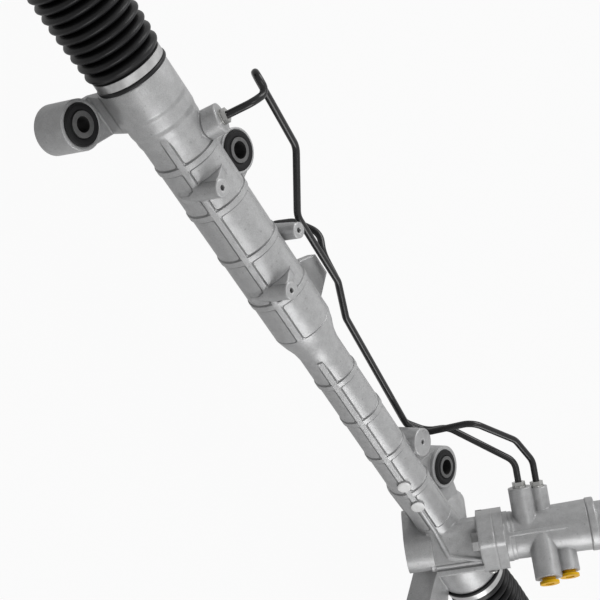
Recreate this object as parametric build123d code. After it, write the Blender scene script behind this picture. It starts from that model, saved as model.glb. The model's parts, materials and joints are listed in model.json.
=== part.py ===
from build123d import *
import os
from math import acos, cos, degrees, pi, radians, sin, sqrt, tan

os.makedirs("parts", exist_ok=True)

# A hydraulic power steering rack. Lengths are millimetres. The model is laid out about the
# rack bar: X runs along the bar towards the pinion end, Z is up along the mounting bolts,
# and x = 0 lies near the middle of the power cylinder. The export moves the origin to the
# rear bush at the pinion end.

# Clearances
running_gap = 0.05
seat_gap = 0.05
side_gap = 0.3

# Power cylinder and rack tube, one casting
cylinder_outer_r = 27.0
cylinder_wall = 5.0
cylinder_start_x = -103.0
cylinder_end_x = 112.0
cylinder_neck_length = 30.0
tube_outer_r = 19.7
tube_wall = 5.2
collar_r = 29.0
collar_start_x = -159.5
collar_end_x = -118.0
shoulder_r = 28.0
end_collar_r = 31.5
end_collar_length = 26.0
housing_end_x = 466.0
bellows_seat_length = 15.0
bellows_seat_r = 27.0
end_seat_r = 29.5

# Raised bands and the long rib on the casting
band_width = 5.0
band_height = 1.0
cylinder_band_xs = (-81.4, -33.3, 16.6, 67.8)
tube_band_xs = (175.0, 224.6, 274.9, 327.1)
tube_rib_start_x = 145.0
tube_rib_end_x = 378.0
pad_r = 6.5
pad_height = 2.2
pad_xs = (313.3, 342.6)
corner_rib_r = 2.4
corner_rib_points = ((345, -17, 9.6), (381, -17.3, 9.4), (408, -27.5, 17), (423, -17, 45))

# Pinion axis: leaning back from the bolts and tilted along the bar
lean = radians(29.5)
tilt = radians(16.1)
pinion_x = 409.9
pinion_distance = 15.0

# Pinion and rack teeth, 20 degree pressure angle
tooth_module = 1.9
pinion_teeth = 8
profile_shift = 0.55
pressure_angle = radians(20.0)
flank_gap = 0.08
pinion_tip_r = 10.0
pinion_face = 32.0
slots_each_side = 13

# Rack bar and travel
bar_r = 13.0
travel = 72.0
stop_gap = 3.0
piston_x = -5.0
piston_length = 18.0
piston_ring_width = 5.0
guide_length = 18.0
rod_seal_length = 9.5
snap_ring_width = 4.0
bulkhead_x = 94.0
bulkhead_seal_r = 18.0
bulkhead_seal_length = 12.0
gland_x = -121.0
gland_bore_r = 22.5

# Pinion tower of the casting, along the pinion axis from the rack crossing
tower_bottom = -40.0
tower_block_top = -13.5
tower_block_r = 21.7
tower_block_depth = 25.0
tower_neck_front = 16.0
tower_neck_back = 17.0
tower_neck_half = 22.0
flange_bottom = 32.0
flange_joint = 47.8
flange_r = 25.0
flange_bolt_circle_r = 30.0
flange_lug_r = 9.5
flange_bolt_r = 5.0
flange_bolt_flats = 17.0
flange_head_height = 6.4
flange_lobe = (22.0, 9.0)
rear_bolt_seat = 38.5
pinion_cavity_r = 12.5
bearing_bore_r = 18.5
bearing_seat = 32.5
bearing_width = 10.0
bearing_race_r = 15.3
lower_bearing_length = 12.0
bottom_plug_r = 15.0
bottom_plug_length = 7.0

# Valve housing
valve_flange_thickness = 9.7
valve_step_r = 24.2
valve_barrel_r = 23.0
valve_barrel_end_r = 24.5
valve_bore_r = 19.0
sleeve_start = 56.0
sleeve_length = 56.0
input_bearing_r = 14.0
input_bearing_length = 12.0
input_seal_r = 16.0
cap_ring_r = 25.6
cap_ring_length = 8.0
cap_neck_r = 21.0
cap_neck_length = 13.0

# Input shaft, torsion bar and valve sleeve
input_r = 10.0
input_reach = 62.0
input_spline_r = 9.2
input_spline_length = 28.0
torsion_bar_r = 3.0
torsion_end_r = 3.9
torsion_end_length = 16.0
sleeve_ring_width = 2.4
sleeve_ring_count = 4

# Hydraulic ports on the valve housing: place along the axis, turn about it, side offset
upper_port_turn = radians(234.6)
upper_port_places = (79.0, 96.0)
upper_port_offsets = (9.0, 0.0)
upper_port_rs = (11.3, 9.5)
upper_port_heights = (47.0, 43.5)
lower_port_turn = radians(30.0)
lower_port_places = (91.5, 111.5)
lower_port_offsets = (-9.5, 0.0)
lower_port_rs = (12.8, 10.8)
lower_port_heights = (47.8, 42.0)
port_plug_r = 9.3
port_plug_neck_r = 6.6
barrel_rib_turn = radians(-50.0)

# Steel pressure lines
line_r = 3.2
line_bend_r = 15.0
line_nut_flats = 11.0
line_nut_thread_r = 5.0
line_nut_length = 5.5
line_nut_collar = 1.4
line_depth = 11.0

# Cylinder ports
cylinder_port_xs = (-95.0, 88.0)
cylinder_port_r = 12.5
cylinder_port_face_r = 41.0

# Mounting eyes: centre x, y, top z, casting radius, bolt bore radius
rubber_r = 17.4
sleeve_r = 10.75
sleeve_proud = 1.2
rubber_rim_height = 2.0
rubber_rim_margin = 0.9
eye_length = 32.0
eye_cylinder_front = (-148.5, -40.2, -37.0, 20.5, 6.5)
eye_cylinder_rear = (-46.0, 45.0, 4.0, 19.4, 7.5)
eye_pinion_rear = (360.6, 45.0, 4.0, 21.0, 7.5)
eye_pinion_front = (470.0, -80.0, -8.0, 20.5, 6.5)

# Threaded bracket bosses: centre x, y, top z, radius
bracket_hole_r = 2.4
bracket_hole_depth = 16.0
lug_cylinder = (-57.0, -20.0, 36.0, 7.5)
lug_middle = (55.0, -20.0, 36.0, 7.5)
boss_middle = (35.0, 33.0, 26.0, 7.0)
boss_pinion = (298.0, 24.0, 20.0, 13.3)

# Yoke that presses the bar into the pinion
yoke_boss_r = 23.0
yoke_boss_height = 43.0
yoke_r = 15.0
yoke_bottom = 7.0
yoke_top = 29.0
yoke_liner_thickness = 1.0
yoke_plug_r = 16.5
yoke_plug_start = 33.0
yoke_nut_flats = 37.0
yoke_nut_height = 5.0

# Inner ball joints and tie rods
ball_r = 13.5
seat_thickness = 2.4
socket_r = 18.5
socket_back = 20.0
socket_front = 9.0
socket_stud_r = 7.0
socket_stud_length = 20.0
tab_washer_thickness = 1.5
mouth_angle = radians(53.0)
tie_neck_r = 6.0
tie_rod_r = 7.5
tie_rod_length = 240.0
tie_thread_r = 7.0
tie_thread_length = 56.0
jam_nut_flats = 22.0
jam_nut_height = 11.0
jam_nut_from_end = 50.0
thread_groove_width = 1.5

# Bellows
fold_pitch = 9.0
fold_depth = 7.0
bellows_reach = 95.0
bellows_wall = 2.0
cuff_length = 12.0
cuff_r = 10.5
band_clamp_width = 7.5
band_clamp_thickness = 0.7
lip_width = 4.0
lip_r = 30.5
end_lip_r = 33.7
clip_width = 6.0
clip_thickness = 1.2

# Derived places
cylinder_bore_r = cylinder_outer_r - cylinder_wall
tube_bore_r = tube_outer_r - tube_wall
housing_start_x = collar_start_x - bellows_seat_length
housing_far_x = housing_end_x + bellows_seat_length
ball_left_x = housing_start_x - stop_gap - travel - tab_washer_thickness - socket_back
ball_right_x = housing_far_x + stop_gap + travel + tab_washer_thickness + socket_back
bar_left_x = ball_left_x + socket_back + tab_washer_thickness
bar_right_x = ball_right_x - socket_back - tab_washer_thickness
pitch_r = tooth_module * pinion_teeth / 2
input_bearing_start = sleeve_start + sleeve_length + 4
valve_end = input_bearing_start + input_bearing_length + 10
input_end = valve_end + input_reach
jam_nut_place = tie_rod_length - jam_nut_from_end
free_thread_start = jam_nut_place + jam_nut_height + 0.5

pinion_dir = Vector(sin(tilt), cos(tilt) * sin(lean), cos(tilt) * cos(lean))
front_dir = Vector(0, -cos(lean), sin(lean))
yoke_dir = front_dir * -1
port_dir = Vector(0, sin(lean), cos(lean))
rear_port_dir = Vector(0, 0.8, -0.6)
pinion_origin = Vector(pinion_x, 0, 0) + front_dir * pinion_distance
pinion_place = Plane(origin=pinion_origin, x_dir=front_dir, z_dir=pinion_dir)
pinion_side_dir = pinion_place.y_dir
datum = Vector(eye_pinion_rear[0], eye_pinion_rear[1], eye_pinion_rear[2] - eye_length / 2)


# Shape helpers
def turned_x(points):
    """A solid turned about the rack axis from (x, radius) points."""
    return revolve(make_face(Polyline(*points, close=True)), Axis.X)


def turned_z(points):
    """A solid turned about Z from (radius, z) points."""
    return revolve(Plane.XZ * make_face(Polyline(*points, close=True)), Axis.Z)


def ring_x(x_start, x_end, outer_r, inner_r):
    return turned_x([(x_start, inner_r), (x_end, inner_r), (x_end, outer_r), (x_start, outer_r)])


def ring_z(z_start, z_end, outer_r, inner_r):
    return turned_z([(inner_r, z_start), (inner_r, z_end), (outer_r, z_end), (outer_r, z_start)])


def rod(start, direction, radius, length):
    place = Plane(origin=start, z_dir=direction)
    return place * Cylinder(radius, length, align=(Align.CENTER, Align.CENTER, Align.MIN))


def hex_bar(start, direction, flats, length):
    place = Plane(origin=start, z_dir=direction)
    return place * extrude(RegularPolygon(flats / 2, 6, major_radius=False), length)


def linked(circle_list, z_start, z_end):
    """A plate whose outline is the hull round circles given as (x, y, radius)."""
    outline = Sketch() + [Pos(x, y) * Circle(r) for x, y, r in circle_list]
    return Pos(0, 0, z_start) * extrude(make_hull(outline.edges()), z_end - z_start)


def turned_direction(turn):
    return front_dir * cos(turn) + pinion_side_dir * sin(turn)


def on_pinion(along):
    return pinion_origin + pinion_dir * along


# Rack housing casting
def casting_body():
    neck_end = cylinder_end_x + cylinder_neck_length
    collar_top = housing_end_x - end_collar_length
    outline = [
        (housing_start_x, 0), (housing_start_x, bellows_seat_r), (collar_start_x, bellows_seat_r),
        (collar_start_x, collar_r), (collar_end_x, collar_r), (collar_end_x + 5, shoulder_r),
        (cylinder_start_x - 5, shoulder_r), (cylinder_start_x, cylinder_outer_r),
        (cylinder_end_x, cylinder_outer_r), (cylinder_end_x + 10, cylinder_outer_r - 2.4),
        (neck_end - 10, tube_outer_r + 1.6), (neck_end, tube_outer_r),
        (pinion_x - 25, tube_outer_r), (pinion_x, tube_outer_r + 2),
        (collar_top - 14, end_collar_r - 7), (collar_top - 4, end_collar_r - 1.5),
        (collar_top + 4, end_collar_r), (housing_end_x, end_collar_r),
        (housing_end_x, end_seat_r), (housing_far_x, end_seat_r), (housing_far_x, 0),
    ]
    return turned_x(outline)


def casting_bands():
    bands = []
    for x in cylinder_band_xs:
        bands.append(ring_x(x - band_width / 2, x + band_width / 2,
                            cylinder_outer_r + band_height, cylinder_bore_r + 1))
    for x in tube_band_xs:
        bands.append(ring_x(x - band_width / 2, x + band_width / 2,
                            tube_outer_r + band_height, tube_bore_r + 1))
    return bands


def long_rib(x_start, x_end, surface_r):
    place = Plane(origin=Vector(x_start, 0, 0) + front_dir * (surface_r - 2),
                  x_dir=(1, 0, 0), z_dir=front_dir)
    return place * Box(x_end - x_start, band_width, 2 + band_height,
                       align=(Align.MIN, Align.CENTER, Align.MIN))


def ejector_pads():
    return [rod(Vector(x, 0, 0) + front_dir * (tube_outer_r - 2), front_dir, pad_r, 2 + pad_height)
            for x in pad_xs]


def eye_blank(eye):
    x, y, top, r, _ = eye
    return Pos(x, y, top - eye_length) * Cylinder(r, eye_length, align=(Align.CENTER, Align.CENTER, Align.MIN))


def mounting_arms():
    """Webs that carry the four eyes from the casting."""
    x1, y1, top1, r1, _ = eye_cylinder_front
    bottom1 = top1 - eye_length + 4
    side_1 = make_face(Polyline((y1 - r1, bottom1), (y1 + 8, bottom1), (y1 + 34, -shoulder_r), (y1 + 44, -8),
                                (y1 + 14, -10), (y1 + r1 + 1.2, top1 - 1.5), (y1 - r1, top1 - 1.5), close=True))
    arm_1 = linked([(x1, y1, r1 - 1), (x1 + 10, y1 + 27, 17.5)], bottom1, 0)
    arm_1 &= Pos(collar_start_x + 0.7, 0, 0) * extrude(Plane.YZ * side_1, 60)
    x2, y2, top2, r2, _ = eye_cylinder_rear
    arm_2 = linked([(x2, y2, r2), (x2, y2 - 30, r2 + 6)], top2 - eye_length + 3, top2 - 2)
    x3, y3, top3, r3, _ = eye_pinion_rear
    arm_3 = linked([(x3, y3, r3 - 0.5), (x3 - 24, y3 - 38, 15), (x3 + 24, y3 - 36, 15)],
                   top3 - eye_length + 3, top3 - 4)
    x4, y4, top4, r4, _ = eye_pinion_front
    arm_4 = linked([(x4, y4, r4 - 1), (x4 - 26, y4 + 60, 12)], top4 - eye_length + 3, top4 - 1.5)
    web_3 = linked([(x3 + 16, y3 - 8, 13), (pinion_x - 8, y3 - 16, 14), (pinion_x - 14, y3 - 38, 14)],
                   top3 - eye_length + 3, top3 - 4)
    return [arm_1, arm_2, arm_3, web_3, arm_4]


def bracket_lug(lug):
    """A tapered post on the cylinder, buttressed by a gusset that falls to the crown."""
    x, y, top, r = lug
    foot = -4.0
    post = Pos(x, y, foot) * Cone(r + 1.5, r, top - foot, align=(Align.CENTER, Align.CENTER, Align.MIN))
    gusset = make_face(Polyline((y - 1, 8), (y + 24, 20), (y + 22, cylinder_outer_r), (y + 4, top - 1),
                                (y - 1, top - 1), close=True))
    return post + Pos(x - r - 0.8, 0, 0) * extrude(Plane.YZ * gusset, r + 1)


def bracket_bosses():
    """Round posts on the rear side, each with a low web to the casting."""
    xc, yc, top_c, rc = boss_middle
    post_c = Pos(xc, yc, -6) * Cone(rc + 1.3, rc, top_c + 6, align=(Align.CENTER, Align.CENTER, Align.MIN))
    web_c = linked([(xc, yc, rc), (xc - 3, yc - 14, rc - 2)], -6, 7)
    xd, yd, top_d, rd = boss_pinion
    post_d = Pos(xd, yd, -12) * Cone(rd + 0.7, rd, top_d + 12, align=(Align.CENTER, Align.CENTER, Align.MIN))
    web_d = linked([(xd, yd, rd - 1), (xd, yd - 14, rd - 1)], -12, -1)
    return [post_c, web_c, post_d, web_d]


def side_ear():
    """Bracket ear on the rear side of the cylinder."""
    ear_top = 0.0
    ear_bottom = -9.0
    outline = Polyline((72, 15), (74, 40), (84, 58), (106, 58), (116, 34), (116, 15), close=True)
    return Pos(0, 0, ear_bottom) * extrude(make_face(outline), ear_top - ear_bottom)


def cylinder_port_boss(x, direction):
    return rod(Vector(x, 0, 0) + direction * (cylinder_bore_r + 2), direction, cylinder_port_r,
               cylinder_port_face_r - cylinder_bore_r - 2)


def tower():
    """Block, neck and flange round the pinion."""
    block_outline = Sketch() + [Circle(tower_block_r), Pos(-tower_block_depth, 0) * Circle(tower_block_r)]
    block = pinion_place * (Pos(0, 0, tower_bottom) * extrude(
        make_hull(block_outline.edges()), tower_block_top - tower_bottom))
    neck_width = tower_neck_front + tower_neck_back
    neck_outline = Pos((tower_neck_front - tower_neck_back) / 2, 0) * RectangleRounded(
        neck_width, 2 * tower_neck_half, 8)
    neck_outline = Rot(0, 0, degrees(upper_port_turn) + 90) * neck_outline
    neck = pinion_place * (Pos(0, 0, tower_block_top - 4) * extrude(
        neck_outline, flange_bottom - tower_block_top + 4))
    flange = pinion_place * (Pos(0, 0, flange_bottom) * extrude(
        flange_outline(), flange_joint - flange_bottom))
    return [block, neck, flange]


def flange_outline():
    """Round flange with a lug for each bolt and a lobe on the port side."""
    lobe_place, lobe_r = flange_lobe
    lobe = Rot(0, 0, degrees(upper_port_turn) + 180) * (Pos(lobe_place, 0) * Circle(lobe_r))
    rounds = Sketch() + [Circle(flange_r), lobe] + [pos * Circle(flange_lug_r) for pos in flange_bolt_places()]
    return make_hull(rounds.edges())


def flange_bolt_places():
    return [Rot(0, 0, turn) * Pos(flange_bolt_circle_r, 0) for turn in (degrees(upper_port_turn) + 80, 175.0)]


def corner_rib():
    """Cast rib that carries the tube's long rib on to the pinion flange."""
    corners = [Vector(*p) for p in corner_rib_points]
    runs = [rod(start, end - start, corner_rib_r, (end - start).length)
            for start, end in zip(corners, corners[1:])]
    knees = [Pos(*corner) * Sphere(corner_rib_r + 0.02) for corner in corners[:-1]]
    return runs + knees


def tower_rib():
    """Ledge along the lower side of the neck, from the block to the flange."""
    rib_turn = degrees(upper_port_turn) + 180
    ledge = Pos(tower_neck_half + 1.5, -6, tower_block_top) * Box(
        5, 22, flange_bottom - tower_block_top + 1, align=(Align.CENTER, Align.CENTER, Align.MIN))
    return pinion_place * (Rot(0, 0, rib_turn) * ledge)


def yoke_boss():
    return rod(Vector(pinion_x, 0, 0), yoke_dir, yoke_boss_r, yoke_boss_height)


def housing_bores():
    """Everything machined out of the casting."""
    bores = [
        turned_x([(housing_start_x - 1, 0), (housing_start_x - 1, gland_bore_r), (gland_x, gland_bore_r),
                  (gland_x, cylinder_bore_r), (bulkhead_x, cylinder_bore_r), (bulkhead_x, bulkhead_seal_r),
                  (bulkhead_x + bulkhead_seal_length, bulkhead_seal_r),
                  (bulkhead_x + bulkhead_seal_length, tube_bore_r), (housing_end_x - 30, tube_bore_r),
                  (housing_end_x - 20, tube_bore_r + 4), (housing_far_x + 1, tube_bore_r + 4),
                  (housing_far_x + 1, 0)]),
        ring_x(snap_ring_x(), snap_ring_x() + snap_ring_width, gland_bore_r + 1.2, gland_bore_r - 1),
        pinion_place * turned_z([
            (0, tower_bottom - 1), (bottom_plug_r, tower_bottom - 1),
            (bottom_plug_r, tower_bottom + bottom_plug_length),
            (pinion_cavity_r, tower_bottom + bottom_plug_length), (pinion_cavity_r, bearing_seat),
            (bearing_bore_r, bearing_seat), (bearing_bore_r, flange_joint + 1), (0, flange_joint + 1)]),
        rod(Vector(pinion_x, 0, 0), yoke_dir, yoke_r, yoke_plug_start),
        rod(Vector(pinion_x, 0, 0) + yoke_dir * yoke_plug_start, yoke_dir, yoke_plug_r,
            yoke_boss_height - yoke_plug_start + 1),
        rod(Vector(pinion_x, 0, 0) + yoke_dir * yoke_boss_height, yoke_dir,
            yoke_nut_flats / sqrt(3) + 1.5, 20),
    ]
    for eye in mounting_eyes:
        x, y, top, _, _ = eye
        bores.append(Pos(x, y, top - eye_length / 2) * Cylinder(rubber_r, eye_length + 2))
    for x, y, top, _ in bracket_points:
        bores.append(Pos(x, y, top - bracket_hole_depth) * Cylinder(
            bracket_hole_r, bracket_hole_depth + 1, align=(Align.CENTER, Align.CENTER, Align.MIN)))
    for x, direction in zip(cylinder_port_xs, cylinder_port_dirs):
        start = Vector(x, 0, 0)
        bores.append(rod(start + direction * (cylinder_bore_r - 3), direction, line_r - 1, 20))
        bores.append(rod(start + direction * (cylinder_port_face_r - line_depth), direction,
                         line_nut_thread_r, line_depth + 1))
    for place, seat in zip(flange_bolt_places(), flange_bolt_seats):
        bores.append(pinion_place * (place * (Pos(0, 0, seat - 1) * Cylinder(
            flange_bolt_r + 0.2, flange_joint - seat + 2, align=(Align.CENTER, Align.CENTER, Align.MIN)))))
        bores.append(pinion_place * (place * (Pos(0, 0, seat - 8) * Cylinder(
            flange_bolt_flats / sqrt(3) + 0.3, 8, align=(Align.CENTER, Align.CENTER, Align.MIN)))))
    return bores


def snap_ring_x():
    return gland_x - rod_seal_length - guide_length - snap_ring_width


mounting_eyes = (eye_cylinder_front, eye_cylinder_rear, eye_pinion_rear, eye_pinion_front)
bracket_points = (lug_cylinder, lug_middle, boss_middle, boss_pinion)
cylinder_port_dirs = (port_dir, rear_port_dir)
flange_bolt_seats = (flange_bottom, rear_bolt_seat)


def rack_housing():
    solid = casting_body()
    for piece in casting_bands() + ejector_pads() + mounting_arms() + bracket_bosses() + tower():
        solid += piece
    solid += long_rib(cylinder_start_x - 8, cylinder_end_x - 2, cylinder_outer_r)
    solid += long_rib(tube_rib_start_x, tube_rib_end_x, tube_outer_r)
    for eye in mounting_eyes:
        solid += eye_blank(eye)
    solid += bracket_lug(lug_cylinder)
    solid += bracket_lug(lug_middle)
    solid += side_ear()
    for x, direction in zip(cylinder_port_xs, cylinder_port_dirs):
        solid += cylinder_port_boss(x, direction)
    solid += tower_rib()
    for piece in corner_rib():
        solid += piece
    solid += yoke_boss()
    for bore in housing_bores():
        solid -= bore
    return solid


# Mount bushes
def mount_rubbers():
    """Rubber bushes; their upper rim spreads over the face of the casting eye."""
    rubbers = []
    for x, y, top, eye_r, _ in mounting_eyes:
        half = eye_length / 2
        rim_r = eye_r - rubber_rim_margin
        rubbers.append(Pos(x, y, top - half) * turned_z([
            (sleeve_r, -half), (rubber_r - seat_gap, -half), (rubber_r - seat_gap, half),
            (rim_r, half), (rim_r, half + 0.8), (rim_r - 2.2, half + rubber_rim_height),
            (sleeve_r, half + rubber_rim_height)]))
    return Compound(children=rubbers)


def mount_sleeves():
    sleeves = []
    for x, y, top, _, bore_r in mounting_eyes:
        half = eye_length / 2 + sleeve_proud
        sleeves.append(Pos(x, y, top - eye_length / 2) * ring_z(-half, half + sleeve_proud,
                                                                 sleeve_r, bore_r))
    return Compound(children=sleeves)


# Valve housing
def port_axis(turn, along, offset):
    """Start point and direction of a port, set off sideways from the valve axis."""
    direction = turned_direction(turn)
    side = turned_direction(turn + pi / 2)
    return on_pinion(along) + side * offset, direction


def upper_ports():
    return [port_axis(upper_port_turn, along, offset)
            for along, offset in zip(upper_port_places, upper_port_offsets)]


def lower_ports():
    return [port_axis(lower_port_turn, along, offset)
            for along, offset in zip(lower_port_places, lower_port_offsets)]


def valve_housing():
    flange_top = flange_joint + valve_flange_thickness
    solid = pinion_place * (Pos(0, 0, flange_joint) * extrude(flange_outline(), valve_flange_thickness))
    rib = Rot(0, 0, degrees(barrel_rib_turn)) * (Pos(0, 0, flange_top) * Box(
        valve_barrel_r + 1.2, 4.0, valve_end - flange_top, align=(Align.MIN, Align.CENTER, Align.MIN)))
    solid += pinion_place * rib
    solid += pinion_place * turned_z([
        (0, flange_joint), (valve_step_r, flange_joint), (valve_step_r, flange_top + 5),
        (valve_barrel_r + 0.5, flange_top + 5), (valve_barrel_r + 0.5, flange_top + 9),
        (valve_barrel_r, flange_top + 9), (valve_barrel_end_r, valve_end), (0, valve_end)])
    for (start, direction), r, height in zip(upper_ports(), upper_port_rs, upper_port_heights):
        solid += rod(start, direction, r, height)
    for (start, direction), r, height in zip(lower_ports(), lower_port_rs, lower_port_heights):
        solid += rod(start, direction, r, height)
    solid -= pinion_place * turned_z([
        (0, flange_joint - 1), (valve_bore_r, flange_joint - 1),
        (valve_bore_r, input_bearing_start), (input_bearing_r, input_bearing_start),
        (input_bearing_r, input_bearing_start + input_bearing_length),
        (input_seal_r, input_bearing_start + input_bearing_length),
        (input_seal_r, valve_end + 1), (0, valve_end + 1)])
    for (start, direction), height in zip(upper_ports(), upper_port_heights):
        solid -= rod(start + direction * 14, direction, line_r - 1, height - 14)
        solid -= rod(start + direction * (height - line_depth), direction, line_nut_thread_r, line_depth + 1)
    for (start, direction), height in zip(lower_ports(), lower_port_heights):
        solid -= rod(start + direction * 14, direction, line_r, height - 14)
        solid -= rod(start + direction * (height - 12), direction, port_plug_neck_r, 13)
    for place in flange_bolt_places():
        solid -= pinion_place * (place * (Pos(0, 0, flange_joint - 1) * Cylinder(
            flange_bolt_r + seat_gap, valve_flange_thickness + 2, align=(Align.CENTER, Align.CENTER, Align.MIN))))
    return solid


def valve_end_cap():
    ring_end = valve_end + cap_ring_length
    neck_end = ring_end + cap_neck_length
    bore_r = input_r + side_gap
    return pinion_place * turned_z([
        (bore_r, valve_end), (cap_ring_r - 0.8, valve_end), (cap_ring_r, valve_end + 0.8),
        (cap_ring_r, ring_end - 0.8), (cap_ring_r - 0.8, ring_end), (cap_neck_r, ring_end),
        (cap_neck_r, neck_end - 1), (cap_neck_r - 1, neck_end), (bore_r, neck_end)])


def flange_bolts():
    bolts = []
    for place, seat in zip(flange_bolt_places(), flange_bolt_seats):
        shank = Pos(0, 0, seat - 1) * Cylinder(
            flange_bolt_r, flange_joint + valve_flange_thickness - seat + 0.5,
            align=(Align.CENTER, Align.CENTER, Align.MIN))
        head = Pos(0, 0, seat - flange_head_height) * extrude(
            RegularPolygon(flange_bolt_flats / 2, 6, major_radius=False), flange_head_height)
        bolts.append(pinion_place * (place * (shank + head)))
    return Compound(children=bolts)


# Pinion group
def involute_half_angle(radius):
    """Half the angle that a pinion tooth spans at this radius."""
    base_r = pitch_r * cos(pressure_angle)
    at_radius = acos(min(1.0, base_r / radius))
    half_at_pitch = (pi / 2 + 2 * profile_shift * tan(pressure_angle)) / pinion_teeth
    return (half_at_pitch + tan(pressure_angle) - pressure_angle) - (tan(at_radius) - at_radius)


def pinion_outline():
    base_r = pitch_r * cos(pressure_angle)
    root_r = pitch_r + tooth_module * (profile_shift - 1.25)
    steps = 4
    flank = [base_r + (pinion_tip_r - base_r) * i / (steps - 1) for i in range(steps)]
    points = []
    for tooth in range(pinion_teeth):
        middle = pi + tooth * 2 * pi / pinion_teeth
        rising = [(root_r, middle - involute_half_angle(base_r))]
        rising += [(r, middle - involute_half_angle(r)) for r in flank]
        falling = [(r, middle + involute_half_angle(r)) for r in reversed(flank)]
        falling += [(root_r, middle + involute_half_angle(base_r))]
        points += [(r * cos(a), r * sin(a)) for r, a in rising + falling]
    return make_face(Polyline(*points, close=True))


def pinion_shaft():
    bore_r = torsion_end_r + running_gap
    half = pinion_face / 2
    plug_top = tower_bottom + bottom_plug_length
    teeth = Pos(0, 0, -half) * extrude(pinion_outline(), pinion_face)
    journal_top = bearing_seat + bearing_width
    shaft = turned_z([
        (0, plug_top + 2), (6, plug_top + 2), (6, -half - 3), (6.2, -half - 3), (6.2, half + 2),
        (9, half + 2), (9, bearing_seat - 2), (12, bearing_seat - 2), (12, bearing_seat),
        (10, bearing_seat), (10, journal_top + 2), (14, journal_top + 4), (14, sleeve_start),
        (0, sleeve_start)])
    solid = teeth + shaft
    solid -= Pos(0, 0, -12) * Cylinder(bore_r, sleeve_start + 13, align=(Align.CENTER, Align.CENTER, Align.MIN))
    return pinion_place * solid


def pinion_lower_bearing():
    bottom = tower_bottom + bottom_plug_length + 1
    return pinion_place * ring_z(bottom, bottom + lower_bearing_length, pinion_cavity_r - seat_gap,
                                 6 + running_gap)


def pinion_bottom_plug():
    solid = Pos(0, 0, tower_bottom) * Cylinder(bottom_plug_r - seat_gap, bottom_plug_length,
                                               align=(Align.CENTER, Align.CENTER, Align.MIN))
    solid -= Pos(0, 0, tower_bottom - 1) * extrude(RegularPolygon(6, 6, major_radius=False), 5)
    return pinion_place * solid


def bearing_outer_ring():
    return pinion_place * ring_z(bearing_seat, bearing_seat + bearing_width, bearing_bore_r - seat_gap, bearing_race_r)


def bearing_inner_ring():
    return pinion_place * ring_z(bearing_seat, bearing_seat + bearing_width, bearing_race_r - running_gap,
                                 10 + seat_gap)


def bearing_nut():
    bottom = bearing_seat + bearing_width
    return pinion_place * ring_z(bottom, flange_joint - 0.2, bearing_bore_r - seat_gap, bearing_race_r + 0.3)


def valve_sleeve():
    solid = ring_z(sleeve_start, sleeve_start + sleeve_length, valve_bore_r - 0.6, input_r + running_gap)
    for along in sleeve_ring_places():
        solid -= ring_z(along, along + sleeve_ring_width, valve_bore_r, valve_bore_r - 2.6)
    return pinion_place * solid


def sleeve_ring_places():
    step = (sleeve_length - 8 - sleeve_ring_width) / (sleeve_ring_count - 1)
    return [sleeve_start + 4 + i * step for i in range(sleeve_ring_count)]


def sleeve_rings():
    return Compound(children=[
        pinion_place * ring_z(along, along + sleeve_ring_width, valve_bore_r - running_gap,
                              valve_bore_r - 2.6) for along in sleeve_ring_places()])


def input_shaft():
    start = sleeve_start + side_gap
    spline_start = input_end - input_spline_length
    solid = turned_z([
        (0, start), (input_r, start), (input_r, spline_start - 8), (input_spline_r - 1.2, spline_start - 6),
        (input_spline_r - 1.2, spline_start), (input_spline_r, spline_start),
        (input_spline_r, input_end - 1), (input_spline_r - 1, input_end), (0, input_end)])
    solid -= Pos(0, 0, start - 1) * Cylinder(torsion_end_r + running_gap, input_end - start - 3,
                                             align=(Align.CENTER, Align.CENTER, Align.MIN))
    solid -= Pos(0, 0, torsion_pin_place()) * (Rot(0, 90, 0) * Cylinder(2.0, 2 * input_r + 4))
    return pinion_place * solid


def torsion_pin_place():
    return input_end - input_spline_length - 3


def torsion_bar():
    top = torsion_pin_place() + torsion_end_length / 2
    bottom = -11.0
    solid = turned_z([
        (0, bottom), (torsion_end_r, bottom), (torsion_end_r, bottom + torsion_end_length),
        (torsion_bar_r, bottom + torsion_end_length + 3), (torsion_bar_r, top - torsion_end_length - 3),
        (torsion_end_r, top - torsion_end_length), (torsion_end_r, top), (0, top)])
    solid -= Pos(0, 0, torsion_pin_place()) * (Rot(0, 90, 0) * Cylinder(2.0, 2 * input_r))
    return pinion_place * solid


def torsion_pin():
    return pinion_place * (Pos(0, 0, torsion_pin_place()) * (
        Rot(0, 90, 0) * Cylinder(2.0 - 0.02, 2 * (input_spline_r - 1.6))))


def input_bearing():
    return pinion_place * ring_z(input_bearing_start, input_bearing_start + input_bearing_length - 0.2,
                                 input_bearing_r - seat_gap, input_r + running_gap)


def input_seal():
    start = input_bearing_start + input_bearing_length
    return pinion_place * ring_z(start, valve_end - 0.2, input_seal_r - seat_gap, input_r + running_gap)


# Rack bar, piston and seals
def tooth_cutter():
    """The material above the rack teeth, with every slot, in the pinion's frame."""
    pitch = pi * tooth_module
    reference = pitch_r + profile_shift * tooth_module
    tip = reference - tooth_module
    root = reference + 1.25 * tooth_module
    half_gap = pitch / 4 + flank_gap
    tip_half = half_gap + tooth_module * tan(pressure_angle)
    root_half = half_gap - 1.25 * tooth_module * tan(pressure_angle)
    points = []
    for slot in range(-slots_each_side, slots_each_side + 1):
        middle = slot * pitch
        points += [(-tip, middle - tip_half), (-root, middle - root_half),
                   (-root, middle + root_half), (-tip, middle + tip_half)]
    points += [(0, points[-1][1]), (0, points[0][1])]
    reach = travel * sin(tilt) + 2 * bar_r
    cutter = extrude(make_face(Polyline(*points, close=True)), reach, both=True)
    return pinion_place * cutter


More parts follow.
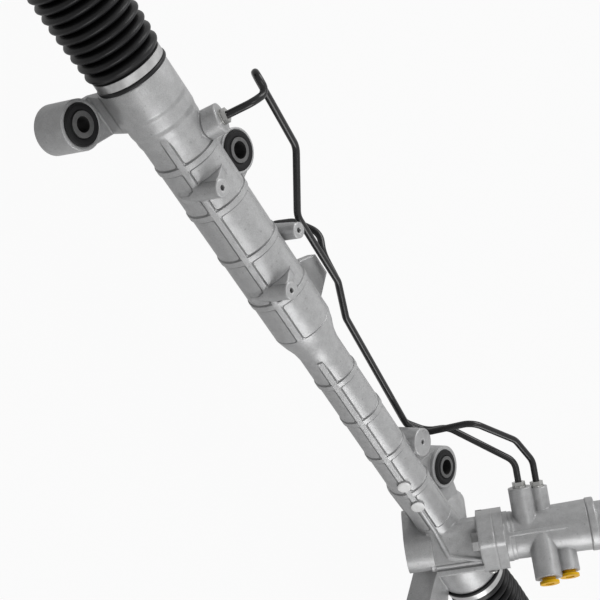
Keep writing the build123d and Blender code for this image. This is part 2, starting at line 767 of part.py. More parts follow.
def rack_bar():
    solid = turned_x([(bar_left_x, 0), (bar_left_x, bar_r - 1), (bar_left_x + 1, bar_r),
                      (bar_right_x - 1, bar_r), (bar_right_x, bar_r - 1), (bar_right_x, 0)])
    solid -= tooth_cutter()
    stud_bore = socket_stud_r + seat_gap
    solid -= turned_x([(bar_left_x - 1, 0), (bar_left_x - 1, stud_bore),
                       (bar_left_x + socket_stud_length + 3, stud_bore), (bar_left_x + socket_stud_length + 3, 0)])
    solid -= turned_x([(bar_right_x + 1, 0), (bar_right_x + 1, stud_bore),
                       (bar_right_x - socket_stud_length - 3, stud_bore), (bar_right_x - socket_stud_length - 3, 0)])
    return solid


def piston():
    half = piston_length / 2
    groove = piston_ring_width / 2
    groove_r = cylinder_bore_r - 3
    outer_r = cylinder_bore_r - 0.4
    return turned_x([
        (piston_x - half, bar_r + 0.02), (piston_x + half, bar_r + 0.02), (piston_x + half, outer_r),
        (piston_x + groove, outer_r), (piston_x + groove, groove_r), (piston_x - groove, groove_r),
        (piston_x - groove, outer_r), (piston_x - half, outer_r)])


def piston_ring():
    half = piston_ring_width / 2 - 0.02
    return ring_x(piston_x - half, piston_x + half, cylinder_bore_r - running_gap, cylinder_bore_r - 3 + 0.02)


def cylinder_rod_seal():
    return ring_x(gland_x - rod_seal_length, gland_x - 0.05, gland_bore_r - seat_gap, bar_r + running_gap)


def rack_guide():
    end = gland_x - rod_seal_length
    return ring_x(end - guide_length, end - 0.05, gland_bore_r - seat_gap, bar_r + running_gap)


def gland_snap_ring():
    return ring_x(snap_ring_x() + 0.05, snap_ring_x() + snap_ring_width - 0.05, gland_bore_r + 1, gland_bore_r - 3)


def bulkhead_seal():
    return ring_x(bulkhead_x + 0.2, bulkhead_x + bulkhead_seal_length, bulkhead_seal_r - seat_gap,
                  bar_r + running_gap)


# Yoke group, measured along its own axis from the rack axis
def along_yoke(distance):
    return Vector(pinion_x, 0, 0) + yoke_dir * distance


def bar_cylinder(radius):
    return ring_x(pinion_x - 2 * yoke_r, pinion_x + 2 * yoke_r, radius, 0.01)


def yoke():
    solid = rod(along_yoke(yoke_bottom), yoke_dir, yoke_r - running_gap, yoke_top - yoke_bottom)
    solid -= bar_cylinder(bar_r + running_gap + yoke_liner_thickness)
    solid -= rod(along_yoke(yoke_top - 8), yoke_dir, 9.0, 9)
    groove = Plane(origin=along_yoke(yoke_top - 6), z_dir=yoke_dir)
    solid -= groove * ring_z(0, 2.6, yoke_r + 1, yoke_r - 1.8)
    return solid


def yoke_liner():
    shell = bar_cylinder(bar_r + running_gap + yoke_liner_thickness - 0.02)
    shell -= bar_cylinder(bar_r + running_gap)
    return shell & rod(along_yoke(yoke_bottom), yoke_dir, yoke_r - 1, yoke_top - yoke_bottom)


def yoke_seal():
    place = Plane(origin=along_yoke(yoke_top - 6), z_dir=yoke_dir)
    return place * ring_z(0.1, 2.5, yoke_r - 0.02, yoke_r - 1.75)


def yoke_springs():
    """Three cupped disc springs, stacked edge to edge and centre to centre."""
    floor_place = yoke_top - 8
    room = yoke_plug_start - floor_place
    rise = room / 3
    thickness = 1.2
    discs = []
    for i in range(3):
        low, high = (4.5, 8.5) if i % 2 == 0 else (8.5, 4.5)
        z = i * rise
        disc = turned_z([(low, z), (high, z + rise - thickness), (high, z + rise), (low, z + thickness)])
        discs.append(Plane(origin=along_yoke(floor_place), z_dir=yoke_dir) * disc)
    return Compound(children=discs)


def yoke_plug():
    length = yoke_boss_height + yoke_nut_height + 3 - yoke_plug_start
    solid = rod(along_yoke(yoke_plug_start), yoke_dir, yoke_plug_r - seat_gap, length)
    solid -= hex_bar(along_yoke(yoke_plug_start + length - 7), yoke_dir, 17.0, 8)
    return solid


def yoke_lock_nut():
    solid = hex_bar(along_yoke(yoke_boss_height), yoke_dir, yoke_nut_flats, yoke_nut_height)
    solid -= rod(along_yoke(yoke_boss_height - 1), yoke_dir, yoke_plug_r, yoke_nut_height + 2)
    return solid


# Pressure lines
def line_nut(face_point, direction):
    solid = hex_bar(face_point, direction, line_nut_flats, line_nut_length)
    solid += rod(face_point, direction, line_nut_flats / 2 + 1.2, line_nut_collar)
    solid += rod(face_point - direction * (line_depth - 1), direction, line_nut_thread_r - seat_gap, line_depth)
    solid -= rod(face_point - direction * line_depth, direction, line_r + seat_gap, line_depth + line_nut_length + 1)
    return solid


def line_tube(points):
    """A bent steel tube: straight runs joined by arcs, each limited by its shorter run."""
    corners = [Vector(*p) for p in points]
    radii = []
    for before, corner, after in zip(corners, corners[1:], corners[2:]):
        run_in = corner - before
        run_out = after - corner
        half_turn = radians(run_in.get_angle(run_out)) / 2
        room = 0.45 * min(run_in.length, run_out.length) / tan(half_turn)
        radii.append(min(line_bend_r, room))
    path = FilletPolyline(*corners, radius=radii)
    section = Plane(origin=path @ 0, z_dir=path % 0) * Circle(line_r)
    return sweep(section, path=path), path, radii


def cylinder_port_face(index):
    direction = cylinder_port_dirs[index]
    return Vector(cylinder_port_xs[index], 0, 0) + direction * cylinder_port_face_r, direction


def valve_port_face(index):
    start, direction = upper_ports()[index]
    return start + direction * upper_port_heights[index], direction


def line_route(cylinder_index, valve_index, middle_points, exit_length):
    start, start_dir = cylinder_port_face(cylinder_index)
    end, end_dir = valve_port_face(valve_index)
    first = [start - start_dir * (line_depth - 1), start + start_dir * exit_length]
    last = [end + end_dir * (line_nut_length + 20), end - end_dir * (line_depth - 1)]
    return [tuple(p) for p in first] + list(middle_points) + [tuple(p) for p in last]


# Both routes run along the rear of the casting, the short one just below the long one
long_line_points = (
    (-92, 50, 63), (-109, 54, 60), (-100, 69, 44), (-18, 79, 30), (30, 46, 20), (113, 52, 12),
    (148, 41.5, 6), (299, 44.6, -8.5), (313, 48, 3), (309, 59, 55), (355, 77, 74))
short_line_points = (
    (44, 56, -34), (58, 75, -17), (75, 76, 1), (85, 60, 7), (117, 57, 6.5), (152, 46.5, 0.5),
    (300, 50, -14.5), (320, 57, -2), (318, 60, 22))


def hydraulic_lines():
    routes = (line_route(0, 1, long_line_points, 29.0), line_route(1, 0, short_line_points, 21.0))
    tubes = []
    for name, route in zip(("long", "short"), routes):
        tube, path, radii = line_tube(route)
        ratio = tube.volume / (pi * line_r ** 2 * path.length)
        print(name, "line: length", round(path.length, 1), "volume ratio", round(ratio, 4),
              "radii", [round(r, 1) for r in radii])
        tubes.append(tube)
    return tubes


def port_plug(start, direction, height):
    """Yellow push-in cap that closes an open port for transport."""
    face = start + direction * height
    solid = rod(face - direction * 9, direction, port_plug_neck_r - seat_gap, 12)
    solid += rod(face + direction * 3, direction, port_plug_r, 2.6)
    solid -= rod(face - direction * 10, direction, port_plug_neck_r - 1.6, 13)
    solid -= rod(face + direction * 4.8, direction, 4.2, 2)
    return solid


# Inner ball joints and tie rods. side is +1 at the pinion end and -1 at the cylinder end
def mirrored(points, centre_x, side):
    """(distance outwards, radius) points turned about the rack axis on one side."""
    return turned_x([(centre_x + side * x, r) for x, r in points])


def ball_socket(centre_x, side):
    inner_r = ball_r + running_gap + seat_thickness + running_gap
    solid = mirrored([(-socket_back, 0), (-socket_back, socket_r), (1, socket_r),
                      (socket_front, socket_r - 3), (socket_front, 0)], centre_x, side)
    solid += mirrored([(-socket_back - socket_stud_length, 0), (-socket_back - socket_stud_length, socket_stud_r),
                       (-socket_back + 1, socket_stud_r), (-socket_back + 1, 0)], centre_x, side)
    solid -= Pos(centre_x, 0, 0) * Sphere(inner_r)
    opening_r = sqrt(inner_r ** 2 - socket_front ** 2)
    solid -= mirrored([(socket_front - 0.4, 0), (socket_front - 0.4, opening_r),
                       (socket_front + 1, opening_r + 1), (socket_front + 1, 0)], centre_x, side)
    return solid


def ball_seat(centre_x, side):
    inner_r = ball_r + running_gap
    solid = Pos(centre_x, 0, 0) * (Sphere(inner_r + seat_thickness) - Sphere(inner_r))
    far = 30.0
    solid -= mirrored([(0, 0), (far, far * tan(mouth_angle)), (far, 0)], centre_x, side)
    return solid


def tab_washer(centre_x, side):
    start = -socket_back - tab_washer_thickness + 0.02
    return mirrored([(start, socket_stud_r + seat_gap), (-socket_back - 0.02, socket_stud_r + seat_gap),
                     (-socket_back - 0.02, socket_r - 1), (start, socket_r - 1)], centre_x, side)


def tie_rod(centre_x, side):
    thread_start = tie_rod_length - tie_thread_length
    neck_start = sqrt(ball_r ** 2 - tie_neck_r ** 2) - 1
    groove_end = free_thread_start + thread_groove_width
    groove_r = tie_thread_r - 0.8
    shank = mirrored([(neck_start, 0), (neck_start, tie_neck_r), (26, tie_neck_r), (40, tie_rod_r),
                      (thread_start - 2, tie_rod_r), (thread_start, tie_thread_r),
                      (free_thread_start, tie_thread_r), (free_thread_start, groove_r), (groove_end, groove_r),
                      (groove_end, tie_thread_r),
                      (tie_rod_length - 1.5, tie_thread_r), (tie_rod_length, tie_thread_r - 1.5),
                      (tie_rod_length, 0)], centre_x, side)
    return (Pos(centre_x, 0, 0) * Sphere(ball_r)) + shank


def jam_nut(centre_x, side):
    start = Vector(centre_x + side * jam_nut_place, 0, 0)
    solid = hex_bar(start, Vector(side, 0, 0), jam_nut_flats, jam_nut_height)
    solid -= rod(start - Vector(side, 0, 0), Vector(side, 0, 0), tie_thread_r + seat_gap, jam_nut_height + 2)
    return solid


# Bellows. Distances run outwards from the casting's collar face
def bellows(collar_x, side, seat_r, lip_radius, crest_line, length):
    """Folded rubber boot: lip, clamped cuff, folds whose crest follows crest_line, rod cuff."""
    inner_cuff = seat_r + seat_gap
    clamp_end = lip_width + band_clamp_width
    folds_start = bellows_seat_length + 1.0
    cuff_start = length - cuff_length
    count = int((cuff_start - folds_start) / fold_pitch)
    pitch = (cuff_start - folds_start) / count
    outer = [(0, inner_cuff), (0, lip_radius), (lip_width, lip_radius), (lip_width, seat_r + 2),
             (clamp_end, seat_r + 2)]
    for i in range(count):
        crest_x = folds_start + (i + 0.5) * pitch
        crest = crest_line(crest_x)
        if i:
            outer.append((folds_start + i * pitch, crest - fold_depth))
        outer.append((crest_x, crest))
    outer += [(cuff_start, cuff_r), (length, cuff_r)]
    rod_r = tie_rod_r + side_gap
    end_root = crest_line(cuff_start) - fold_depth - bellows_wall
    mid_root = crest_line(folds_start + (cuff_start - folds_start) / 2) - fold_depth - bellows_wall
    start_root = min(crest_line(folds_start) - fold_depth - bellows_wall, seat_r)
    inner = [(length, rod_r), (cuff_start + 1, rod_r), (cuff_start - 2 * fold_pitch, end_root),
             (folds_start + (cuff_start - folds_start) / 2, mid_root),
             (bellows_seat_length + 0.3, start_root), (bellows_seat_length + 0.3, inner_cuff)]
    return mirrored(outer + inner, collar_x, side)


def cylinder_crest(distance):
    """Crest radius of the boot at the cylinder end: it swells, then narrows to the rod."""
    if distance < 60:
        return 32.2 + 1.4 * distance / 60
    if distance < 140:
        return 33.6
    return 33.6 - 6.0 * (distance - 140) / 60


def pinion_crest(distance):
    """Crest radius of the boot at the pinion end: nearly straight, then narrowing."""
    if distance < 140:
        return 33.6
    return 33.6 - 6.0 * (distance - 140) / 60


def band_clamp(collar_x, side, seat_r):
    outer = seat_r + 2 + seat_gap
    return mirrored([(lip_width + 0.1, outer), (lip_width + band_clamp_width - 0.4, outer),
                     (lip_width + band_clamp_width - 0.4, outer + band_clamp_thickness),
                     (lip_width + 0.1, outer + band_clamp_thickness)], collar_x, side)


def rod_clip(centre_x, side, bellows_end):
    start = bellows_end - cuff_length / 2 - clip_width / 2
    inner_r = cuff_r + seat_gap
    return mirrored([(start, inner_r), (start + clip_width, inner_r),
                     (start + clip_width, inner_r + clip_thickness), (start, inner_r + clip_thickness)],
                    centre_x, side)


left_bellows_length = collar_start_x - ball_left_x + bellows_reach
right_bellows_length = ball_right_x + bellows_reach - housing_end_x
long_line, short_line = hydraulic_lines()

nodes = {
    "rack_housing": rack_housing(),
    "valve_housing": valve_housing(),
    "valve_end_cap": valve_end_cap(),
    "flange_bolts": flange_bolts(),
    "mount_rubbers": mount_rubbers(),
    "mount_sleeves": mount_sleeves(),
    "pinion_shaft": pinion_shaft(),
    "pinion_lower_bearing": pinion_lower_bearing(),
    "pinion_bottom_plug": pinion_bottom_plug(),
    "pinion_bearing_outer": bearing_outer_ring(),
    "pinion_bearing_inner": bearing_inner_ring(),
    "pinion_bearing_nut": bearing_nut(),
    "valve_sleeve": valve_sleeve(),
    "valve_sleeve_rings": sleeve_rings(),
    "input_shaft": input_shaft(),
    "torsion_bar": torsion_bar(),
    "torsion_pin": torsion_pin(),
    "input_bearing": input_bearing(),
    "input_seal": input_seal(),
    "rack_bar": rack_bar(),
    "piston": piston(),
    "piston_ring": piston_ring(),
    "cylinder_rod_seal": cylinder_rod_seal(),
    "rack_guide": rack_guide(),
    "gland_snap_ring": gland_snap_ring(),
    "bulkhead_seal": bulkhead_seal(),
    "yoke": yoke(),
    "yoke_liner": yoke_liner(),
    "yoke_seal": yoke_seal(),
    "yoke_springs": yoke_springs(),
    "yoke_plug": yoke_plug(),
    "yoke_lock_nut": yoke_lock_nut(),
    "long_pressure_line": long_line,
    "short_pressure_line": short_line,
    "long_line_cylinder_nut": line_nut(*cylinder_port_face(0)),
    "short_line_cylinder_nut": line_nut(*cylinder_port_face(1)),
    "short_line_valve_nut": line_nut(*valve_port_face(0)),
    "long_line_valve_nut": line_nut(*valve_port_face(1)),
    "pressure_port_plug": port_plug(*lower_ports()[0], lower_port_heights[0]),
    "return_port_plug": port_plug(*lower_ports()[1], lower_port_heights[1]),
    "cylinder_end_bellows": bellows(collar_start_x, -1, bellows_seat_r, lip_r, cylinder_crest,
                                    left_bellows_length),
    "pinion_end_bellows": bellows(housing_end_x, 1, end_seat_r, end_lip_r, pinion_crest,
                                  right_bellows_length),
    "cylinder_end_band": band_clamp(collar_start_x, -1, bellows_seat_r),
    "pinion_end_band": band_clamp(housing_end_x, 1, end_seat_r),
}
for end_name, centre_x, side in (("cylinder_end", ball_left_x, -1), ("pinion_end", ball_right_x, 1)):
    nodes[end_name + "_ball_socket"] = ball_socket(centre_x, side)
    nodes[end_name + "_tab_washer"] = tab_washer(centre_x, side)
    nodes[end_name + "_ball_seat"] = ball_seat(centre_x, side)
    nodes[end_name + "_tie_rod"] = tie_rod(centre_x, side)
    nodes[end_name + "_jam_nut"] = jam_nut(centre_x, side)
    nodes[end_name + "_rod_clip"] = rod_clip(centre_x, side, bellows_reach)

for node_name, shape in nodes.items():
    export_step(Location(datum * -1) * shape, "parts/" + node_name + ".step")
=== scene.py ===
import json
import math
import bpy
from mathutils import Matrix, Vector
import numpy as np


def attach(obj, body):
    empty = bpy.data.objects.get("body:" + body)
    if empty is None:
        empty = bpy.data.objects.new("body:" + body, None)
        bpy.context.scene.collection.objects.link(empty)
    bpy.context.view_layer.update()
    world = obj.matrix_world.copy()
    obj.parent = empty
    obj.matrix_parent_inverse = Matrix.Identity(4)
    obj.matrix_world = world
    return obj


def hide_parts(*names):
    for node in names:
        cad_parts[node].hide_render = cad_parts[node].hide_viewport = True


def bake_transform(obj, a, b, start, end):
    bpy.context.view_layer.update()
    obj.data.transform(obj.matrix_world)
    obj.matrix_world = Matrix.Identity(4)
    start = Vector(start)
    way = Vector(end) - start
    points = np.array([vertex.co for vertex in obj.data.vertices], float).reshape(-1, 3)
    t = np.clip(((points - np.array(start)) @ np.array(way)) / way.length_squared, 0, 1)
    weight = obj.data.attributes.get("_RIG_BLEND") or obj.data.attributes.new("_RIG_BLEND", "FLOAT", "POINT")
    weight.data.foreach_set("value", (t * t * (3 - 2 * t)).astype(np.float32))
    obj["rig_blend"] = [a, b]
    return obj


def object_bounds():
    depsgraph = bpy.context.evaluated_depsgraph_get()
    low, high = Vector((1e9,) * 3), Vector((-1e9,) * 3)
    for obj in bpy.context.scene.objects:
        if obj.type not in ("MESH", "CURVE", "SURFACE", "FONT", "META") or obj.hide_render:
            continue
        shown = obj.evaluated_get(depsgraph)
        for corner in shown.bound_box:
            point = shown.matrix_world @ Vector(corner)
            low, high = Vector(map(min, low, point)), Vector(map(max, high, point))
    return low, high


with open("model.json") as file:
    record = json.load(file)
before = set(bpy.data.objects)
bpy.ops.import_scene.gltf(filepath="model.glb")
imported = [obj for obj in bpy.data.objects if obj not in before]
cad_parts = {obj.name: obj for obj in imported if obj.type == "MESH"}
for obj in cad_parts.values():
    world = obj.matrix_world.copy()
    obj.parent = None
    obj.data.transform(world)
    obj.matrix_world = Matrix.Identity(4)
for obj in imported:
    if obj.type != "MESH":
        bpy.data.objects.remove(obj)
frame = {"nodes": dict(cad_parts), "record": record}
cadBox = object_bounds()
bpy.ops.object.select_all(action="DESELECT")
print("stage: frame loaded")

# The rack bar's axis in the shared frame, and how far the casting's long rib leans up from the front.
# Sizes in the dictionaries are millimetres, measured from the rack bar's axis, unless a note says otherwise.
axis = {"x": -360.6, "y": -45.0, "z": 12.0, "lean": math.radians(29.5)}


def fromRack(x, y, z):
    return Vector((x + axis["x"], y + axis["y"], z + axis["z"])) / 1000


def selectOnly(obj):
    bpy.ops.object.select_all(action="DESELECT")
    obj.select_set(True)
    bpy.context.view_layer.objects.active = obj


def applyModifiers(obj):
    selectOnly(obj)
    for modifier in list(obj.modifiers):
        bpy.ops.object.modifier_apply(modifier=modifier.name)


def settle(obj):
    selectOnly(obj)
    bpy.ops.object.transform_apply(location=True, rotation=True, scale=True)


def smoothByAngle(obj, degreesLimit=32):
    selectOnly(obj)
    bpy.ops.object.shade_smooth_by_angle(angle=math.radians(degreesLimit))


def paint(obj, material):
    obj.data.materials.clear()
    obj.data.materials.append(material)


# A CAD node's mesh is loose triangles, so its copy is merged before it is smoothed
def mergedCopy(node, name):
    source = frame["nodes"][node]
    piece = bpy.data.objects.new(name, source.data.copy())
    bpy.context.scene.collection.objects.link(piece)
    for label in [a.name for a in piece.data.attributes if a.name == "custom_normal"]:
        piece.data.attributes.remove(piece.data.attributes[label])
    selectOnly(piece)
    bpy.ops.object.mode_set(mode="EDIT")
    bpy.ops.mesh.select_all(action="SELECT")
    bpy.ops.mesh.remove_doubles(threshold=0.000005)
    bpy.ops.mesh.normals_make_consistent(inside=False)
    bpy.ops.object.mode_set(mode="OBJECT")
    return piece


def newGroup(name, inputs, outputs):
    tree = bpy.data.node_groups.new(name, "ShaderNodeTree")
    for label, kind, value in inputs:
        socket = tree.interface.new_socket(name=label, in_out="INPUT", socket_type=kind)
        socket.default_value = value
    for label, kind in outputs:
        tree.interface.new_socket(name=label, in_out="OUTPUT", socket_type=kind)
    return tree, tree.nodes.new("NodeGroupInput"), tree.nodes.new("NodeGroupOutput")


# One math node: each value is a number or another node's socket
def calc(tree, operation, *values):
    node = tree.nodes.new("ShaderNodeMath")
    node.operation = operation
    for socket, value in zip(node.inputs, values):
        if isinstance(value, (int, float)):
            socket.default_value = value
        else:
            tree.links.new(value, socket)
    return node.outputs["Value"]


def ramp(tree, value, low, high, start=0.0, end=1.0, soft=False):
    node = tree.nodes.new("ShaderNodeMapRange")
    node.interpolation_type = "SMOOTHSTEP" if soft else "LINEAR"
    tree.links.new(value, node.inputs["Value"])
    for label, amount in (("From Min", low), ("From Max", high), ("To Min", start), ("To Max", end)):
        node.inputs[label].default_value = amount
    return node.outputs["Result"]


# Grain, slow patches and the small dark pits of a cast or moulded surface.
# A pit stands in one of the cells above the rarity, and fades between the two distances from its middle.
pitShape = {"rarity": 0.93, "inner": 0.08, "outer": 0.3}


def makeGrainGroup():
    tree, inp, out = newGroup(
        "surfaceGrain",
        [("Grain Scale", "NodeSocketFloat", 900.0), ("Patch Scale", "NodeSocketFloat", 30.0),
         ("Pit Scale", "NodeSocketFloat", 260.0)],
        [("Grain", "NodeSocketFloat"), ("Patch", "NodeSocketFloat"), ("Pits", "NodeSocketFloat")])
    coord = tree.nodes.new("ShaderNodeTexCoord").outputs["Object"]
    fine = tree.nodes.new("ShaderNodeTexNoise")
    fine.inputs["Detail"].default_value = 4.0
    fine.inputs["Roughness"].default_value = 0.6
    slow = tree.nodes.new("ShaderNodeTexNoise")
    slow.inputs["Detail"].default_value = 3.0
    cells = tree.nodes.new("ShaderNodeTexVoronoi")
    split = tree.nodes.new("ShaderNodeSeparateColor")
    for node, label in ((fine, "Grain Scale"), (slow, "Patch Scale"), (cells, "Pit Scale")):
        tree.links.new(coord, node.inputs["Vector"])
        tree.links.new(inp.outputs[label], node.inputs["Scale"])
    tree.links.new(cells.outputs["Color"], split.inputs["Color"])
    rare = calc(tree, "GREATER_THAN", split.outputs["Red"], pitShape["rarity"])
    near = ramp(tree, cells.outputs["Distance"], pitShape["inner"], pitShape["outer"], 1.0, 0.0)
    tree.links.new(fine.outputs["Fac"], out.inputs["Grain"])
    tree.links.new(slow.outputs["Fac"], out.inputs["Patch"])
    tree.links.new(calc(tree, "MULTIPLY", rare, near), out.inputs["Pits"])
    return tree


# Rounds the edges that the light sees, and tells outer edges from inner corners; the inner-corner mask, from ambient
# occlusion, sets where shade is painted into the colour
def makeEdgeGroup():
    tree, inp, out = newGroup(
        "edgeRound",
        [("Radius", "NodeSocketFloat", 0.001), ("Corner Reach", "NodeSocketFloat", 0.004)],
        [("Normal", "NodeSocketVector"), ("Edge", "NodeSocketFloat"), ("Corner", "NodeSocketFloat")])
    bevel = tree.nodes.new("ShaderNodeBevel")
    bevel.samples = 6
    geometry = tree.nodes.new("ShaderNodeNewGeometry")
    dot = tree.nodes.new("ShaderNodeVectorMath")
    dot.operation = "DOT_PRODUCT"
    shade = tree.nodes.new("ShaderNodeAmbientOcclusion")
    shade.samples = 8
    shade.only_local = True
    link = tree.links.new
    link(inp.outputs["Radius"], bevel.inputs["Radius"])
    link(inp.outputs["Corner Reach"], shade.inputs["Distance"])
    link(bevel.outputs["Normal"], dot.inputs[0])
    link(geometry.outputs["Normal"], dot.inputs[1])
    turned = ramp(tree, dot.outputs["Value"], 0.995, 0.8)
    corner = ramp(tree, shade.outputs["AO"], 0.95, 0.45)
    outer = ramp(tree, shade.outputs["AO"], 0.85, 0.98)
    link(bevel.outputs["Normal"], out.inputs["Normal"])
    link(calc(tree, "MULTIPLY", turned, outer), out.inputs["Edge"])
    link(corner, out.inputs["Corner"])
    return tree


# Where the casting's joins are broad: x, y and reach of posts, arms and lugs. The two radii are metres.
broadJoins = {
    "places": ((-57, -20, 20), (55, -20, 20), (35, 30, 18), (298, 22, 20), (-140, -34, 30), (-46, 40, 26),
               (370, 30, 34), (420, -5, 40), (-95, 20, 18), (94, 40, 30), (460, -50, 40)),
    "wideRadius": 0.0030, "fineRadius": 0.0008}


def makeJoinGroup():
    tree, inp, out = newGroup("joinRadius", [], [("Radius", "NodeSocketFloat")])
    split = tree.nodes.new("ShaderNodeSeparateXYZ")
    tree.links.new(tree.nodes.new("ShaderNodeTexCoord").outputs["Object"], split.inputs["Vector"])
    total = None
    for x, y, reach in broadJoins["places"]:
        spot = fromRack(x, y, 0)
        alongX = calc(tree, "SUBTRACT", split.outputs["X"], spot.x)
        alongY = calc(tree, "SUBTRACT", split.outputs["Y"], spot.y)
        squares = calc(tree, "ADD", calc(tree, "MULTIPLY", alongX, alongX), calc(tree, "MULTIPLY", alongY, alongY))
        near = ramp(tree, calc(tree, "SQRT", squares), reach * 0.0007, reach * 0.001, 1.0, 0.0)
        total = near if total is None else calc(tree, "MAXIMUM", total, near)
    radius = ramp(tree, total, 0.0, 1.0, broadJoins["fineRadius"], broadJoins["wideRadius"])
    tree.links.new(radius, out.inputs["Radius"])
    return tree


# The recessed panels between the casting's bands and its long rib, on both sides of the rib.
# Cylinder and tube give the casting's radius there, and each panel's start and end along the bar.
# A collar step gives its start, its end and its height as a share of the depth; depth is metres. The crease values
# give the width, strength and fade of the shade painted at the foot of each panel wall.
panels = {
    "cylinder": (27.0, ((-116, -83.9), (-78.9, -35.8), (-30.8, 14.1), (19.1, 65.3), (70.3, 111))),
    "tube": (19.7, ((122, 172.5), (177.5, 222.1), (227.1, 272.4), (277.4, 324.6), (329.6, 380))),
    "ribHalf": 2.5, "reachDegrees": 86, "cornerR": 3.6, "wall": 1.5, "depth": 0.0015, "proudFrom": (1.2, 2.4),
    "creaseShadeWidth": 0.6, "creaseShadeShare": 0.4, "creaseShadeFade": (0.14, 0.4), "cone": (112, 143, 158),
    "collarFade": (-113, -103), "collarSteps": ((-133.0, -128.0, 0.9), (-120.0, -114.0, 1.2)), "collarR": 32.5}


def makePanelGroup():
    tree, inp, out = newGroup("panelRelief", [], [("Height", "NodeSocketFloat"), ("Line", "NodeSocketFloat")])
    split = tree.nodes.new("ShaderNodeSeparateXYZ")
    tree.links.new(tree.nodes.new("ShaderNodeTexCoord").outputs["Object"], split.inputs["Vector"])
    x, y, z = [calc(tree, "MULTIPLY_ADD", split.outputs[label], 1000, -axis[label.lower()]) for label in "XYZ"]
    sinLean, cosLean = math.sin(axis["lean"]), math.cos(axis["lean"])
    front = calc(tree, "SUBTRACT", calc(tree, "MULTIPLY", z, sinLean), calc(tree, "MULTIPLY", y, cosLean))
    top = calc(tree, "ADD", calc(tree, "MULTIPLY", y, sinLean), calc(tree, "MULTIPLY", z, cosLean))
    radius = calc(tree, "SQRT", calc(tree, "ADD", calc(tree, "MULTIPLY", y, y), calc(tree, "MULTIPLY", z, z)))
    angle = calc(tree, "ARCTAN2", top, front)
    arc = calc(tree, "MULTIPLY", calc(tree, "ABSOLUTE", angle), radius)
    farArc = calc(tree, "MULTIPLY", radius, math.radians(panels["reachDegrees"]))
    corner = panels["cornerR"]
    halfArc = calc(tree, "MULTIPLY", calc(tree, "SUBTRACT", farArc, panels["ribHalf"]), 0.5)
    middleArc = calc(tree, "MULTIPLY", calc(tree, "ADD", farArc, panels["ribHalf"]), 0.5)
    across = calc(tree, "SUBTRACT", calc(tree, "ABSOLUTE", calc(tree, "SUBTRACT", arc, middleArc)), halfArc)
    across = calc(tree, "ADD", across, corner)
    along = None
    for _, spans in (panels["cylinder"], panels["tube"]):
        for start, end in spans:
            away = calc(tree, "ABSOLUTE", calc(tree, "SUBTRACT", x, (start + end) / 2))
            away = calc(tree, "SUBTRACT", away, (end - start) / 2 - corner)
            along = away if along is None else calc(tree, "MINIMUM", along, away)
    outAlong = calc(tree, "MAXIMUM", along, 0)
    outAcross = calc(tree, "MAXIMUM", across, 0)
    outside = calc(tree, "SQRT", calc(tree, "ADD", calc(tree, "MULTIPLY", outAlong, outAlong),
                                      calc(tree, "MULTIPLY", outAcross, outAcross)))
    inside = calc(tree, "MINIMUM", calc(tree, "MAXIMUM", along, across), 0)
    distance = calc(tree, "SUBTRACT", calc(tree, "ADD", outside, inside), corner)
    # posts, arms and the cone between cylinder and tube stand higher than a panel and keep clear of it
    surface = ramp(tree, x, 116, 118, panels["cylinder"][0], panels["tube"][0])
    proud = ramp(tree, calc(tree, "SUBTRACT", radius, surface), *panels["proudFrom"], soft=True)
    coneStart, coneEnd, fullDepth = panels["cone"]
    cone = calc(tree, "MULTIPLY", ramp(tree, x, coneStart, coneStart + 1),
                ramp(tree, x, coneEnd, fullDepth, 1.0, 0.0, soft=True))
    proud = calc(tree, "MAXIMUM", proud, cone)
    proud = calc(tree, "MAXIMUM", proud, ramp(tree, x, *panels["collarFade"], 1.0, 0.0, soft=True))
    height = ramp(tree, distance, -panels["wall"], 0.0, soft=True)
    relief = calc(tree, "MAXIMUM", height, proud)
    # the soft steps from the end collar down to the cylinder
    near = ramp(tree, radius, panels["collarR"] - 1.5, panels["collarR"], 1.0, 0.0)
    for start, end, amount in panels["collarSteps"]:
        step = ramp(tree, x, start, end, amount, 0.0, soft=True)
        relief = calc(tree, "MULTIPLY_ADD", step, near, relief)
    # painted shade: a dark line along the foot of each panel wall, where the recess is in shade
    line = calc(tree, "ABSOLUTE", calc(tree, "ADD", distance, panels["wall"] * 0.75))
    line = ramp(tree, line, 0.0, panels["creaseShadeWidth"], 1.0, 0.0)
    # the painted shade is strong on the lower side and weaker on the top, where the light falls
    line = calc(tree, "MULTIPLY", line, ramp(tree, angle, *panels["creaseShadeFade"], 1.0, 0.15))
    tree.links.new(relief, out.inputs["Height"])
    tree.links.new(calc(tree, "MULTIPLY", line, calc(tree, "SUBTRACT", 1.0, proud)), out.inputs["Line"])
    return tree


grainGroup = makeGrainGroup()
edgeGroup = makeEdgeGroup()
joinGroup = makeJoinGroup()
panelGroup = makePanelGroup()
